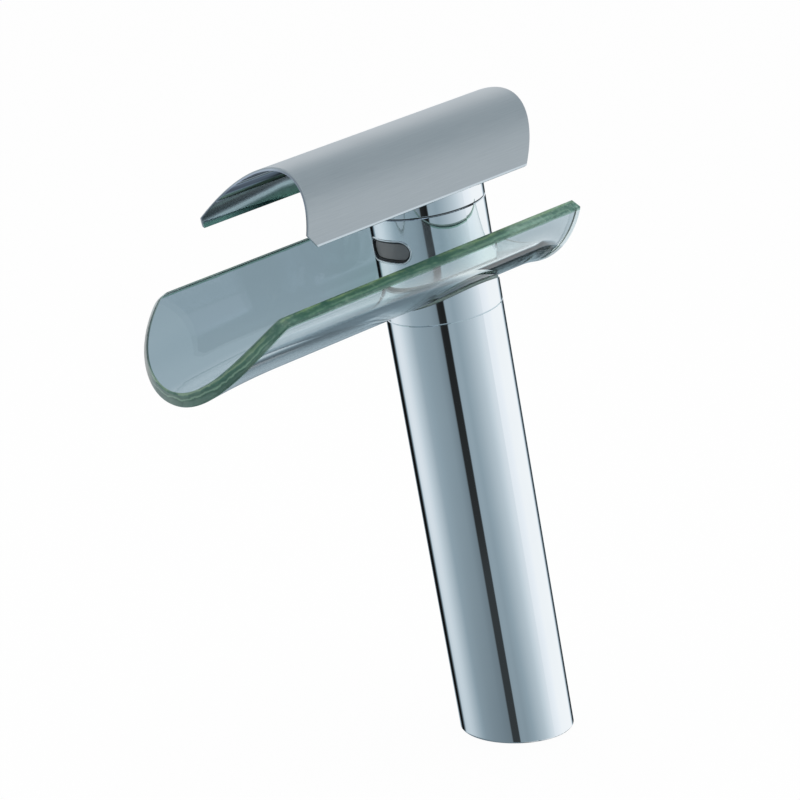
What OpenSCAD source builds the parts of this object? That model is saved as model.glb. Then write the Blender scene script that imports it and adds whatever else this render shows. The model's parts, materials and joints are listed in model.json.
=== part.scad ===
// Tall single-lever basin tap. A round column leans towards the basin and carries
// a bent glass trough that the water runs along, with a half-round lever plate on top.
// Millimetres. The origin is the middle of the foot on the deck, +Z is up and the
// water runs towards -Y. "On the column" means along its own leaning axis.

/* [Column] */
// How far the column leans forward from upright, in degrees
lean = 10; // [0:1:14]
// Outer diameter of the column
column_d = 50; // [46:0.5:54]
// Wall of the column tube
column_wall = 2.5; // [1.8:0.1:3]
// Length of the column tube, from the deck to the lower seam
tube_h = 198; // [150:1:240]
// Radius on the bottom edge of the foot
foot_round = 2.2; // [0.5:0.1:2.5]
// Depth of the chamfer on each side of a seam
seam_chamfer = 0.3; // [0.2:0.05:0.5]

/* [Glass trough] */
// Thickness of the glass
glass_t = 6; // [5:0.5:8]
// Inner radius of the bent glass
trough_r = 44; // [40:0.5:50]
// Half of the angle that the glass spans round its axis, in degrees
trough_half_angle = 63; // [55:1:75]
// Reach of the lip in front of the column's axis
trough_reach = 139; // [110:1:160]
// Reach of the glass behind the column's axis
trough_tail = 45.5; // [38:0.5:60]
// How far the front corners lie behind the tip of the lip
lip_setback = 29; // [15:1:40]
// How far the tip of the lip droops
lip_drop = 2.5; // [0:0.5:5]
// Distance in front of the axis at which the lip starts to droop
lip_start = 101; // [80:1:105]
// How far the middle of the back end droops
tail_drop = 1.9; // [0:0.1:3]
// Distance behind the axis at which the back end starts to droop
tail_start = 30; // [27:0.5:36]
// Radius on the front corners of the glass
glass_corner = 2.5; // [1:0.5:6]
// Radius on the back corners of the glass
tail_corner = 1.2; // [1:0.1:6]
// Width of the ground edge of the glass
glass_arris = 0.7; // [0.3:0.1:1.2]
// Height of the seat collar under the lowest line of the glass
collar_h = 6.2; // [4:0.1:12]
// Thickness of each rubber gasket on the glass
gasket_t = 1; // [0.6:0.1:1.6]

/* [Spout body] */
// Height of the spout body, from the lowest line inside the glass to the upper seam
body_h = 32.7; // [30:0.1:42]
// Width of the water slot
slot_w = 24; // [16:0.5:28]
// Height of the water slot
slot_h = 8.9; // [6:0.1:11]
// Height of the middle of the slot above the lowest line inside the glass
slot_rise = 18.9; // [17:0.1:21]
// Gap at the seam between the spout body and the bonnet
seam_gap = 0.4; // [0.3:0.05:0.8]
// Height of the bonnet above the upper seam
bonnet_h = 16.6; // [16:0.1:18]
// Diameter of the opening in the bonnet that the lever passes through
bonnet_bore = 31; // [30:0.5:34]

/* [Lever] */
// Height of the top of the lever plate above the upper seam
plate_rise = 35.9; // [34:0.1:40]
// Outer radius of the half-round plate
plate_r = 43.4; // [40:0.1:48]
// Thickness of the plate
plate_t = 1.2; // [1:0.1:3]
// Half of the angle that the plate spans, in degrees
plate_half_angle = 63.4; // [55:0.2:72]
// Reach of the top of the plate in front of the axis
plate_front = 70.5; // [55:0.5:90]
// Reach of the top of the plate behind the axis
plate_back = 48.7; // [35:0.1:60]
// Slant of the front end, in degrees from square
front_slant = 40.5; // [25:0.5:50]
// Slant of the back end, in degrees from square
back_slant = 45.5; // [25:0.5:50]
// Height of the flat cut across each front tip of the plate
tip_cut = 5; // [1:0.1:8]
// Diameter of the hub under the plate
hub_d = 20; // [17:0.5:21]

/* [Cartridge] */
// Outer diameter of the cartridge housing
cartridge_d = 35; // [34:0.5:36]
// Height of the housing above the cartridge's base
housing_h = 12.4; // [12:0.1:13.5]
// Height of the pivot pin above the cartridge's seat
pivot_h = 18; // [17.6:0.1:18.4]
// Width of the square lever stem
stem_w = 7; // [6:0.5:8]

/* [Supply] */
// Outer diameter of the two supply pipes
pipe_d = 10; // [8:0.5:10.5]
// Wall of the supply pipes
pipe_wall = 1; // [0.8:0.1:1.2]
// Distance between the two supply pipes
pipe_pitch = 13; // [12.5:0.1:14]
// How far the supply pipes lie in front of the axis
pipe_front = 6; // [5.5:0.1:6.5]
// Wall diameter of the hose inlets, tapped M10
inlet_d = 9; // [8.5:0.1:9.5]
// Depth of the hose inlets
inlet_depth = 10; // [8:0.5:11]
// Wall diameter of the stud hole, tapped M8
stud_d = 6.8; // [6:0.1:8]
// Depth of the stud hole
stud_depth = 12; // [9:0.5:14]
// How far the stud hole lies behind the middle of the foot
stud_back = 9; // [6:0.5:12]
// Height of the plug in the foot
plug_h = 20; // [18:0.5:26]

/* [Hidden] */

$fn = 96;
over = 1;          // overrun of a cut past the face that it opens
fit_gap = 0.1;     // radial gap between fixed pieces that slide together
run_gap = 0.05;    // radial gap between pieces that turn on each other
face_gap = 0.05;   // gap between flat faces that slide
bond_gap = 0.06;   // gap that a bond or a seated gasket fills

column_r = column_d / 2;
tube_bore_r = column_r - column_wall;

// Heights on the column, from the deck up
glass_low = tube_h + collar_h + gasket_t;
trough_out_r = trough_r + glass_t;
trough_axis_h = glass_low + trough_out_r;
inside_low = glass_low + glass_t;
body_top = inside_low + body_h;
slot_mid_h = inside_low + slot_rise;

// Clamp under the glass
tail_r = 16.5;
tail_gap = 0.15;
sleeve_wall = 1.85;
sleeve_gap = 0.2;
sleeve_reach = 6.5;
gasket_inset = 0.5;
spigot_h = 12;
washer_t = 1.5;
nut_h = 8;
tail_spare = 2;
washer_h = tube_h - spigot_h - washer_t;
clamp_nut_h = washer_h - nut_h;
tail_low = clamp_nut_h - tail_spare;
sleeve_r = tail_r + tail_gap + sleeve_wall;
hole_r = sleeve_r + sleeve_gap;
sleeve_low = tube_h + collar_h / 2;
sleeve_top = inside_low + gasket_t + sleeve_reach;
gasket_r = column_r - gasket_inset;

// Cartridge, from its seat up
seat_depth = 7.5;
seat_h = body_top - seat_depth;
cart_r = cartridge_d / 2;
base_t = 3;
fixed_t = 3.3;
moving_t = 3;
carrier_t = 3.2;
moving_r = 12.8;
carrier_r = 11;
hollow_r = 5.2;
hollow_back = 5;
hollow_lobe_r = 4;
housing_wall = 1.6;
shoulder_t = 1.5;
neck_r = 13.5;
neck_wall = 2;
neck_h = 6;
turret_proud = 0.4;
cavity_r = cart_r - housing_wall - fit_gap;
turret_r = neck_r - neck_wall;
flange_r = cavity_r - run_gap;
flange_t = 1;
base_low = seat_h + face_gap;
fixed_low = base_low + base_t + face_gap;
moving_low = fixed_low + fixed_t + face_gap;
carrier_low = moving_low + moving_t;
shoulder_top = base_low + base_t + housing_h;
flange_top = shoulder_top - shoulder_t - face_gap;
neck_top = shoulder_top + neck_h;
turret_top = neck_top + turret_proud;
pivot_z = seat_h + pivot_h;
ball_r = 2.1;
ball_gap = 0.15;
ball_arm = 6.4;
ball_z = pivot_z - ball_arm;
pin_r = 1.5;
stem_below = 3;
shank_r = 1.6;

// Body neck, nut and bonnet
bonnet_wall = 2.6;
neck_ring_wall = 2.8;
body_neck_r = column_r - bonnet_wall - fit_gap;
body_neck_h = 9.5;
nut_thread_r = body_neck_r - neck_ring_wall;
nut_seat_h = 4;
nut_ring_h = 5.5;
bonnet_low = body_top + seam_gap;
bonnet_top = body_top + bonnet_h;
bonnet_roof = 2;
bonnet_round = 0.8;

// Ports
port_r = 3;
outlet_back = 6.5;
passage_r = 2.2;
chamber_wall = 1.2;
chamber_inset = 1.5;
slot_deep = 7;
pipe_r = pipe_d / 2;
socket_gap = 0.1;
socket_depth = 9;
pipe_floor = 1.5;  // metal between a hose inlet and the pipe's socket, which leans over it
socket_low = (inlet_depth + pipe_floor + (pipe_front + pipe_r + socket_gap) * sin(lean)) / cos(lean);
pipe_ring_r = 0.5;
port_ring_r = 0.8;
frame_w = 0.9;
frame_recess = 0.6;
frame_deep = 2.4;
screen_recess = 1.1;
screen_t = 0.8;
rebate = 0.35;

// Lever plate and hub
plate_axis_h = body_top + plate_rise - plate_r;
plate_in_r = plate_r - plate_t;
rim_h = plate_r * cos(plate_half_angle);
rim_low = plate_in_r * cos(plate_half_angle);
tip_back_share = 0.42;  // how far the cut across the tip leans back, as a share of its height
hub_r = hub_d / 2;
hub_lift = 2.1;
hub_low = bonnet_top + hub_lift;
hub_neck_r = 6.4;
hub_cone_h = 4;
stem_grip = 8;
stem_top = hub_low + stem_grip;
screw_r = 2.5;
screw_len = 6;
screw_rise = 6;
screw_h = hub_low + screw_rise;

// Foot
seal_in_r = 17.6;
seal_out_r = 20.4;
seal_t = 1.8;

// Colours
chrome_tint = [0.80, 0.83, 0.86];
brass_tint = [0.78, 0.63, 0.34];
satin_tint = [0.60, 0.63, 0.65];
glass_tint = [0.60, 0.76, 0.72, 0.5];
rubber_tint = [0.12, 0.12, 0.13];
plastic_tint = [0.24, 0.25, 0.27];
ceramic_tint = [0.93, 0.92, 0.88];
copper_tint = [0.72, 0.45, 0.32];

// Stands its children on the leaning column
module on_column() {
    rotate([lean, 0, 0]) children();
}

// A disc or ring on the column's axis between two heights
module turned(r, low, top, bore = 0) {
    translate([0, 0, low])
        difference() {
            cylinder(r = r, h = top - low);
            if (bore > 0)
                translate([0, 0, -over]) cylinder(r = bore, h = top - low + 2 * over);
        }
}

// An outline with round ends, the width along X and the height along Y
module stadium(w, h) {
    square([w - h, h], center = true);
    for (side = [-1, 1])
        translate([side * (w - h) / 2, 0]) circle(d = h);
}

// A bar of slot outline that runs back along +Y from the front at depth front_y
module slot_bar(w, h, front_y, back_y) {
    translate([0, back_y, slot_mid_h])
        rotate([90, 0, 0])
            linear_extrude(height = back_y - front_y) stadium(w, h);
}

// A long cylinder on the trough's axis
module trough_bar(r) {
    translate([0, 2 * column_r, trough_axis_h])
        rotate([90, 0, 0]) cylinder(r = r, h = 4 * column_r, $fn = 180);
}

// The places of the two supply pipes, side by side in front of the axis
module at_pipes() {
    for (side = [-1, 1])
        translate([side * pipe_pitch / 2, -pipe_front, 0]) children();
}

// The half of space above the deck, with the foot's rounded edge cut into it
module above_deck() {
    foot_r = column_r / cos(lean);
    big = 2 * (tube_h + column_r);
    translate([0, -foot_round * tan(lean), 0])
        rotate_extrude($fn = 180)
            difference() {
                square([foot_r, foot_round]);
                translate([foot_r - foot_round, 0])
                    difference() {
                        square([foot_round + over, foot_round]);
                        translate([0, foot_round]) circle(r = foot_round);
                    }
            }
    translate([-big / 2, -big / 2, foot_round]) cube([big, big, big]);
}

// Foot and supply

// Chrome tube, cut level at the deck, with a chamfer at the lower seam
module column_tube() {
    color(chrome_tint)
        intersection() {
            above_deck();
            on_column()
                difference() {
                    union() {
                        turned(column_r, -column_r, tube_h - seam_chamfer);
                        translate([0, 0, tube_h - seam_chamfer])
                            cylinder(r1 = column_r, r2 = column_r - seam_chamfer, h = seam_chamfer);
                    }
                    turned(tube_bore_r, -column_d, tube_h + over);
                }
        }
}

// Where a pipe's axis passes a height above the deck
function pipe_y(h) = -(pipe_front + h * sin(lean)) / cos(lean);

module base_plug() {
    color(brass_tint)
        difference() {
            intersection() {
                translate([-column_d, -column_d, 0]) cube([2 * column_d, 2 * column_d, plug_h]);
                on_column() turned(tube_bore_r - fit_gap, -column_d, 2 * plug_h);
            }
            difference() {
                turned(seal_out_r + fit_gap, -over, seal_t);
                turned(seal_in_r - fit_gap, -2 * over, seal_t + over);
            }
            for (side = [-1, 1])
                translate([side * pipe_pitch / 2, pipe_y(inlet_depth), -over])
                    cylinder(d = inlet_d, h = inlet_depth + over);
            translate([0, stud_back, -over]) cylinder(d = stud_d, h = stud_depth + over);
            on_column()
                at_pipes() {
                    translate([0, 0, socket_low]) cylinder(r = pipe_r + socket_gap, h = 2 * plug_h);
                    translate([0, 0, inlet_depth - over]) cylinder(r = port_r, h = plug_h);
                }
        }
}

module base_seal() {
    color(rubber_tint) turned(seal_out_r, 0, seal_t - face_gap, bore = seal_in_r);
}

// One supply pipe, from the plug to the socket in the spout body's tail
module supply_pipe(side) {
    low = socket_low + socket_gap;
    top = tail_low + socket_depth - socket_gap;
    color(copper_tint)
        on_column()
            translate([side * pipe_pitch / 2, -pipe_front, 0])
                turned(pipe_r, low, top, bore = pipe_r - pipe_wall);
}

module hot_pipe() supply_pipe(-1);

module cold_pipe() supply_pipe(1);

// Sealing rings round the pipes, in pockets at the mouths of the tail's sockets
module pipe_rings() {
    color(rubber_tint)
        on_column()
            at_pipes()
                translate([0, 0, tail_low + pipe_ring_r])
                    rotate_extrude($fn = 48)
                        translate([pipe_r + pipe_ring_r + face_gap, 0])
                            circle(r = pipe_ring_r - face_gap / 2, $fn = 24);
}

// Clamp and glass

// Collar that the glass sits on, with a saddle top and a spigot in the tube
module seat_collar() {
    color(chrome_tint)
        on_column()
            difference() {
                union() {
                    turned(tube_bore_r - fit_gap, tube_h - spigot_h, tube_h);
                    translate([0, 0, tube_h])
                        cylinder(r1 = column_r - seam_chamfer, r2 = column_r, h = seam_chamfer);
                    turned(column_r, tube_h + seam_chamfer, inside_low + column_r / 2);
                }
                trough_bar(trough_out_r + gasket_t + bond_gap);
                turned(tail_r + tail_gap, tube_h - spigot_h - over, inside_low + column_r);
                turned(hole_r, sleeve_low, inside_low + column_r);
            }
}

module clamp_washer() {
    color(plastic_tint)
        on_column()
            turned(tube_bore_r - 2 * fit_gap, washer_h + face_gap, washer_h + washer_t - face_gap,
                   bore = tail_r + tail_gap);
}

// Six-sided ring nut that pulls the spout body down onto the glass
module clamp_nut() {
    color(brass_tint)
        on_column()
            difference() {
                intersection() {
                    turned(tube_bore_r - 2 * fit_gap, clamp_nut_h, washer_h);
                    translate([0, 0, clamp_nut_h])
                        cylinder(r = tube_bore_r, h = nut_h, $fn = 6);
                }
                turned(tail_r + run_gap, clamp_nut_h - over, washer_h + over);
            }
}

// A saddle-shaped gasket between two cylinders on the trough's axis
module saddle_gasket(out_r, in_r) {
    color(rubber_tint)
        on_column()
            difference() {
                intersection() {
                    turned(gasket_r, tube_h, body_top, bore = hole_r);
                    trough_bar(out_r);
                }
                trough_bar(in_r);
                turned(column_d, trough_axis_h - trough_r / 2, body_top + column_d);
            }
}

module lower_gasket() saddle_gasket(trough_out_r + gasket_t, trough_out_r + bond_gap);

module upper_gasket() saddle_gasket(trough_r - bond_gap, trough_r - gasket_t);

// Plastic sleeve that keeps the tail off the edge of the hole in the glass
module hole_sleeve() {
    color(plastic_tint)
        on_column()
            turned(sleeve_r, sleeve_low + face_gap, sleeve_top - face_gap, bore = tail_r + tail_gap);
}

// Glass trough: a flat blank with a round nose, bent to a cylinder and left to droop at the lip

glass_cols = 44;       // strips across the sheet
lip_rows = 7;          // steps along the drooping lip
tail_rows = 4;         // steps along the drooping back end
flat_share = 0.72;     // share of a strip in front of the back end that is one straight step
nose_share = 0.73;     // how much of the setback follows a square law, the rest a fourth power
rim_drop_share = 0.5;  // droop at the rims, as a share of the droop along the middle

// Length across the bent sheet from the middle to an angle
function across(a) = (trough_r + glass_t / 2) * abs(a) * PI / 180;

// Setback of a rounded corner at an angle
function corner_cut(a, r) =
    let (reach = max(0, across(a) - across(trough_half_angle) + r))
    r - sqrt(max(0, pow(r, 2) - pow(reach, 2)));

// Front and back ends of the sheet at an angle
function lip_end(a) =
    let (t = abs(a) / trough_half_angle)
    trough_reach - lip_setback * (nose_share * pow(t, 2) + (1 - nose_share) * pow(t, 4))
    - corner_cut(a, glass_corner);
function tail_end(a) = corner_cut(a, tail_corner) - trough_tail;

// Droop of the sheet at an angle and a distance in front of the axis. The back end droops along
// its middle only, and its rims stay straight.
function droop(a, s) =
    let (side = (cos(a) - cos(trough_half_angle)) / (1 - cos(trough_half_angle)),
         lip = max(0, s - lip_start) / (trough_reach - lip_start),
         tail = max(0, -s - tail_start) / (trough_tail - tail_start))
    lip_drop * pow(lip, 2) * (rim_drop_share + (1 - rim_drop_share) * side)
    + tail_drop * pow(tail, 2) * side;

// A point of the sheet at a radius, an angle and a distance in front of the axis
function sheet_point(r, a, s) =
    [r * sin(a), -s, trough_axis_h - r * cos(a) - droop(a, s)];

// Places along one strip, from its back end to its front end
function strip_rows(back, front) = concat(
    [for (k = [0 : tail_rows]) back + (-tail_start - back) * k / tail_rows],
    [for (k = [0 : lip_rows])
        -tail_start + (front + tail_start) * (flat_share + (1 - flat_share) * k / lip_rows)]);

// A grid of points on one face of the sheet, drawn in from its edges by inset
function sheet_grid(r, inset) =
    let (edge = trough_half_angle - inset / r * 180 / PI)
    [for (i = [0 : glass_cols])
        let (a = edge * sin(180 * i / glass_cols - 90),
             back = tail_end(a) + inset,
             front = lip_end(a) - inset)
        for (s = strip_rows(back, front)) sheet_point(r, a, s)];

module bent_sheet() {
    rows = tail_rows + lip_rows + 2;
    layer = (glass_cols + 1) * rows;
    last = rows - 1;
    points = concat(sheet_grid(trough_r, glass_arris), sheet_grid(trough_r + glass_arris, 0),
                    sheet_grid(trough_out_r - glass_arris, 0), sheet_grid(trough_out_r, glass_arris));
    // Point numbers round the border of one layer, in order
    border = concat([for (i = [0 : glass_cols]) i * rows],
                    [for (j = [1 : last]) glass_cols * rows + j],
                    [for (i = [1 : glass_cols]) (glass_cols - i) * rows + last],
                    [for (j = [1 : last - 1]) last - j]);
    count = len(border);
    inner = [for (i = [0 : glass_cols - 1]) for (j = [0 : last - 1])
        let (p = i * rows + j)
        for (tri = [[p, p + 1, p + rows], [p + 1, p + rows + 1, p + rows]]) tri];
    outer = [for (tri = inner) [for (k = [2, 1, 0]) tri[k] + 3 * layer]];
    edges = [for (m = [0 : 2]) for (k = [0 : count - 1])
        let (p = border[k] + m * layer, q = border[(k + 1) % count] + m * layer)
        for (tri = [[p, q, p + layer], [q, q + layer, p + layer]]) tri];
    polyhedron(points = points, faces = concat(inner, outer, edges), convexity = 6);
}

module glass_trough() {
    color(glass_tint)
        on_column()
            difference() {
                bent_sheet();
                turned(hole_r, tube_h, body_top);
            }
}

// Spout body and outlet

// Body above the glass. Its tail runs down through the glass into the tube. Inside are the seat
// of the cartridge, both inlets in front, the outlet port behind and the passage to the slot.
module spout_body() {
    chamber_back = pipe_front + port_r + chamber_wall;
    color(chrome_tint)
        on_column()
            difference() {
                union() {
                    intersection() {
                        turned(column_r, inside_low - column_r, body_top - seam_chamfer);
                        union() {
                            trough_bar(trough_r - gasket_t - bond_gap);
                            turned(column_d, trough_axis_h - trough_r / 2, body_top);
                        }
                    }
                    translate([0, 0, body_top - seam_chamfer])
                        cylinder(r1 = column_r, r2 = column_r - seam_chamfer, h = seam_chamfer);
                    turned(body_neck_r, body_top - over, body_top + body_neck_h);
                    turned(tail_r, tail_low, body_top - over);
                }
                difference() {
                    turned(hole_r, inside_low - column_r, sleeve_top);
                    turned(tail_r, tail_low - over, sleeve_top + over);
                }
                turned(cart_r + fit_gap, seat_h, body_top + body_neck_h + over);
                turned(nut_thread_r, shoulder_top - nut_seat_h, body_top + body_neck_h + over);
                slot_bar(slot_w, slot_h, -column_r - over, slot_deep - column_r);
                difference() {
                    slot_bar(slot_w + 2 * rebate, slot_h + 2 * rebate, -column_r - over, 0);
                    turned(column_r - rebate, tube_h, body_top);
                }
                slot_bar(slot_w - chamber_inset, slot_h - chamber_inset, -column_r, -chamber_back);
                at_pipes() {
                    translate([0, 0, tail_low - over]) {
                        cylinder(r = pipe_r + socket_gap, h = socket_depth + over);
                        cylinder(r = pipe_r + 2 * pipe_ring_r + 2 * face_gap, h = 2 * pipe_ring_r + over);
                    }
                    translate([0, 0, tail_low]) cylinder(r = port_r, h = seat_h - tail_low + over);
                }
                translate([0, outlet_back, slot_mid_h]) {
                    cylinder(r = port_r, h = seat_h - slot_mid_h + over);
                    rotate([90, 0, 0]) cylinder(r = passage_r, h = outlet_back + chamber_back + over);
                }
            }
}

// A piece of slot outline that follows the round face of the body
module curved_slot_piece(w, h, recess, deep) {
    intersection() {
        slot_bar(w, h, -column_r, -column_r / 2);
        turned(column_r - recess, slot_mid_h - column_r, slot_mid_h + column_r,
               bore = column_r - recess - deep);
    }
}

module outlet_frame() {
    color(rubber_tint)
        on_column()
            difference() {
                curved_slot_piece(slot_w - 2 * fit_gap, slot_h - 2 * fit_gap, frame_recess, frame_deep);
                slot_bar(slot_w - 2 * frame_w, slot_h - 2 * frame_w, -column_r - over, 0);
            }
}

module outlet_screen() {
    color(satin_tint)
        on_column()
            curved_slot_piece(slot_w - 2 * frame_w - fit_gap, slot_h - 2 * frame_w - fit_gap,
                              screen_recess, screen_t);
}

// Cartridge

module cartridge_base() {
    seal_pocket_r = port_r + 2 * port_ring_r + 2 * face_gap;
    color(plastic_tint)
        on_column()
            difference() {
                turned(cart_r, base_low, base_low + base_t);
                at_ports() {
                    translate([0, 0, base_low - over]) cylinder(r = port_r, h = base_t + 2 * over);
                    translate([0, 0, base_low - over])
                        cylinder(r = seal_pocket_r, h = 2 * port_ring_r + over);
                }
            }
}

// The places of the two inlet ports and the outlet port
module at_ports() {
    at_pipes() children();
    translate([0, outlet_back, 0]) children();
}

module port_seals() {
    color(rubber_tint)
        on_column()
            at_ports()
                translate([0, 0, base_low + port_ring_r])
                    rotate_extrude($fn = 48)
                        translate([port_r + port_ring_r + face_gap, 0])
                            circle(r = port_ring_r - face_gap, $fn = 24);
}

module fixed_disc() {
    color(ceramic_tint)
        on_column()
            difference() {
                turned(cavity_r - fit_gap, fixed_low, fixed_low + fixed_t);
                at_ports()
                    translate([0, 0, fixed_low - over]) cylinder(r = port_r, h = fixed_t + 2 * over);
            }
}

// The disc that slides and turns on the fixed one. The hollow in its underside joins the inlets
// to the outlet once the disc has slid forward, and its round lobe stays over the outlet.
module moving_disc() {
    color(ceramic_tint)
        on_column()
            difference() {
                turned(moving_r, moving_low, moving_low + moving_t - face_gap);
                turned(hollow_r, moving_low - over, moving_low + moving_t / 2);
                translate([0, hollow_back, 0])
                    turned(hollow_lobe_r, moving_low - over, moving_low + moving_t / 2);
            }
}

module disc_carrier() {
    color(plastic_tint)
        on_column()
            turned(carrier_r, carrier_low, carrier_low + carrier_t, bore = ball_r + ball_gap);
}

module cartridge_housing() {
    low = base_low + base_t + face_gap;
    color(plastic_tint)
        on_column()
            difference() {
                union() {
                    turned(cart_r, low, shoulder_top);
                    turned(neck_r, low, neck_top);
                }
                turned(cavity_r, low - over, shoulder_top - shoulder_t);
                turned(turret_r + run_gap, low, neck_top + over);
            }
}

// Turns in the housing's neck and carries the pivot pin
module turret() {
    slot_gap = 0.15;
    slot_long = 13.4;
    color(plastic_tint)
        on_column()
            difference() {
                union() {
                    turned(flange_r, flange_top - flange_t, flange_top);
                    turned(turret_r, flange_top - flange_t, turret_top);
                }
                translate([-stem_w / 2 - slot_gap, -slot_long / 2, flange_top - flange_t - over])
                    cube([stem_w + 2 * slot_gap, slot_long, turret_top - flange_top + flange_t + 2 * over]);
                pin_bar(pin_r + run_gap, column_d);
            }
}

// A bar across the column on the pivot
module pin_bar(r, long) {
    translate([-long / 2, 0, pivot_z]) rotate([0, 90, 0]) cylinder(r = r, h = long);
}

module pivot_pin() {
    color(chrome_tint) on_column() pin_bar(pin_r, 2 * turret_r - 2 * fit_gap);
}

// Screws into the neck of the body and holds the cartridge down
module retaining_nut() {
    notches = 6;
    notch_w = 3;
    notch_deep = 2;
    ring_low = shoulder_top + face_gap;
    color(brass_tint)
        on_column()
            difference() {
                turned(nut_thread_r - fit_gap, ring_low, ring_low + nut_ring_h, bore = neck_r + fit_gap);
                for (k = [0 : notches - 1])
                    rotate([0, 0, k * 360 / notches])
                        translate([neck_r + notch_deep, -notch_w / 2, ring_low + nut_ring_h - notch_deep])
                            cube([column_r, notch_w, notch_deep + over]);
            }
}

module seam_ring() {
    color(rubber_tint)
        on_column()
            turned(column_r - 2 * seam_chamfer, body_top, bonnet_low, bore = body_neck_r + fit_gap);
}

// Chrome cover over the cartridge, screwed onto the body's neck
module bonnet() {
    lip_r = column_r - bonnet_round;
    color(chrome_tint)
        on_column()
            difference() {
                union() {
                    translate([0, 0, bonnet_low])
                        cylinder(r1 = column_r - seam_chamfer, r2 = column_r, h = seam_chamfer);
                    turned(column_r, bonnet_low + seam_chamfer, bonnet_top - bonnet_round);
                    turned(lip_r, bonnet_top - bonnet_round, bonnet_top);
                    translate([0, 0, bonnet_top - bonnet_round])
                        rotate_extrude()
                            translate([lip_r, 0])
                                intersection() {
                                    circle(r = bonnet_round, $fn = 48);
                                    square(bonnet_round);
                                }
                }
                turned(body_neck_r + fit_gap, bonnet_low - over, bonnet_top - bonnet_roof);
                turned(bonnet_bore / 2, bonnet_low, bonnet_top + over);
            }
}

// Lever

module lever_stem() {
    square_low = pivot_z - stem_below;
    color(chrome_tint)
        on_column()
            difference() {
                union() {
                    translate([-stem_w / 2, -stem_w / 2, square_low])
                        cube([stem_w, stem_w, stem_top - square_low]);
                    turned(shank_r, ball_z, square_low + over);
                    translate([0, 0, ball_z]) sphere(r = ball_r, $fn = 48);
                }
                pin_bar(pin_r + run_gap, stem_w + 2 * over);
            }
}

// Turned hub that seats on the stem and fills up to the inside of the plate
module lever_hub() {
    grip = stem_w / 2 + fit_gap;
    color(chrome_tint)
        on_column()
            difference() {
                intersection() {
                    union() {
                        translate([0, 0, hub_low])
                            cylinder(r1 = hub_neck_r, r2 = hub_r, h = hub_cone_h);
                        turned(hub_r, hub_low + hub_cone_h, plate_axis_h + plate_r);
                    }
                    translate([0, column_r, plate_axis_h])
                        rotate([90, 0, 0]) cylinder(r = plate_in_r - bond_gap, h = column_d, $fn = 180);
                }
                translate([-grip, -grip, hub_low - over])
                    cube([2 * grip, 2 * grip, stem_top - hub_low + fit_gap + over]);
                screw_bar(screw_r + run_gap, hub_r + over);
            }
}

// A bar from the stem's back face outwards
module screw_bar(r, long) {
    translate([0, stem_w / 2, screw_h]) rotate([-90, 0, 0]) cylinder(r = r, h = long);
}

module set_screw() {
    key_across = 2.5;
    key_deep = 2;
    color(plastic_tint)
        on_column()
            difference() {
                screw_bar(screw_r, screw_len);
                translate([0, stem_w / 2 + screw_len - key_deep, screw_h])
                    rotate([-90, 0, 0])
                        cylinder(d = key_across / cos(30), h = key_deep + over, $fn = 6);
            }
}

// Side outline of the plate: distance in front of the axis against height above its own axis.
// Both ends slant the same way, and a flat cut takes off the sharp front tip.
module plate_side() {
    slope = tan(front_slant);
    front_at_rim = plate_front + slope * (plate_r - rim_low);
    back_at_rim = plate_back - tan(back_slant) * (plate_r - rim_low);
    back_at_top = plate_back + tan(back_slant) * over;
    cut_x = front_at_rim - slope * tip_cut;
    polygon([[-back_at_rim, rim_low],
             [cut_x - tip_back_share * tip_cut, rim_low],
             [cut_x, rim_low + tip_cut],
             [plate_front - slope * over, plate_r + over],
             [-back_at_top, plate_r + over]]);
}

module lever_plate() {
    length = 2 * (plate_front + plate_back);
    color(satin_tint)
        on_column()
            translate([0, 0, plate_axis_h])
                intersection() {
                    translate([0, length / 2, 0])
                        rotate([90, 0, 0])
                            rotate([0, 0, 90 - plate_half_angle])
                                rotate_extrude(angle = 2 * plate_half_angle, $fn = 180)
                                    translate([plate_in_r, 0]) square([plate_t, length]);
                    translate([-plate_r - over, 0, 0])
                        rotate([90, 0, 90])
                            linear_extrude(height = 2 * plate_r + 2 * over)
                                mirror([1, 0]) plate_side();
                }
}

column_tube();
base_plug();
base_seal();
hot_pipe();
cold_pipe();
pipe_rings();
seat_collar();
clamp_washer();
clamp_nut();
lower_gasket();
glass_trough();
hole_sleeve();
upper_gasket();
spout_body();
outlet_frame();
outlet_screen();
cartridge_base();
port_seals();
fixed_disc();
moving_disc();
disc_carrier();
cartridge_housing();
turret();
pivot_pin();
retaining_nut();
seam_ring();
bonnet();
lever_stem();
lever_hub();
set_screw();
lever_plate();
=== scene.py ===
"""Looks for a tall basin tap with a leaning column, a bent glass trough and a half-round lever plate.

Metres, in the same frame as the solids: origin under the middle of the foot, +Z up, water towards -Y.
"""

import json
import math

import bpy
from mathutils import Matrix, Vector


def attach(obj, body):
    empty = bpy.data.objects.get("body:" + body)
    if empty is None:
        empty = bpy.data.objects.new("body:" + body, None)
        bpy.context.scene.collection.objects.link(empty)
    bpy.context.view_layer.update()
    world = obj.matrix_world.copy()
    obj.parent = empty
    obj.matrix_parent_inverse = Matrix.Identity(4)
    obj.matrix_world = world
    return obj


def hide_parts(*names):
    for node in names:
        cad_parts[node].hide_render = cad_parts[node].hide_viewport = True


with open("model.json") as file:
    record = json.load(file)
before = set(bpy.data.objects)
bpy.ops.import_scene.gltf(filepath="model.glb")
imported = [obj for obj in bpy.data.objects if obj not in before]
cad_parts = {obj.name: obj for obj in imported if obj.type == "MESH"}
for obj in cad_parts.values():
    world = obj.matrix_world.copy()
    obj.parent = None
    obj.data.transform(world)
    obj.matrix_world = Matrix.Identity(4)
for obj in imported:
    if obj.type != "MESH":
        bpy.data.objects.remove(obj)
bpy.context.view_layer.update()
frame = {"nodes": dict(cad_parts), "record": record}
scene = bpy.context.scene
nodes = frame["nodes"]

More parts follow.
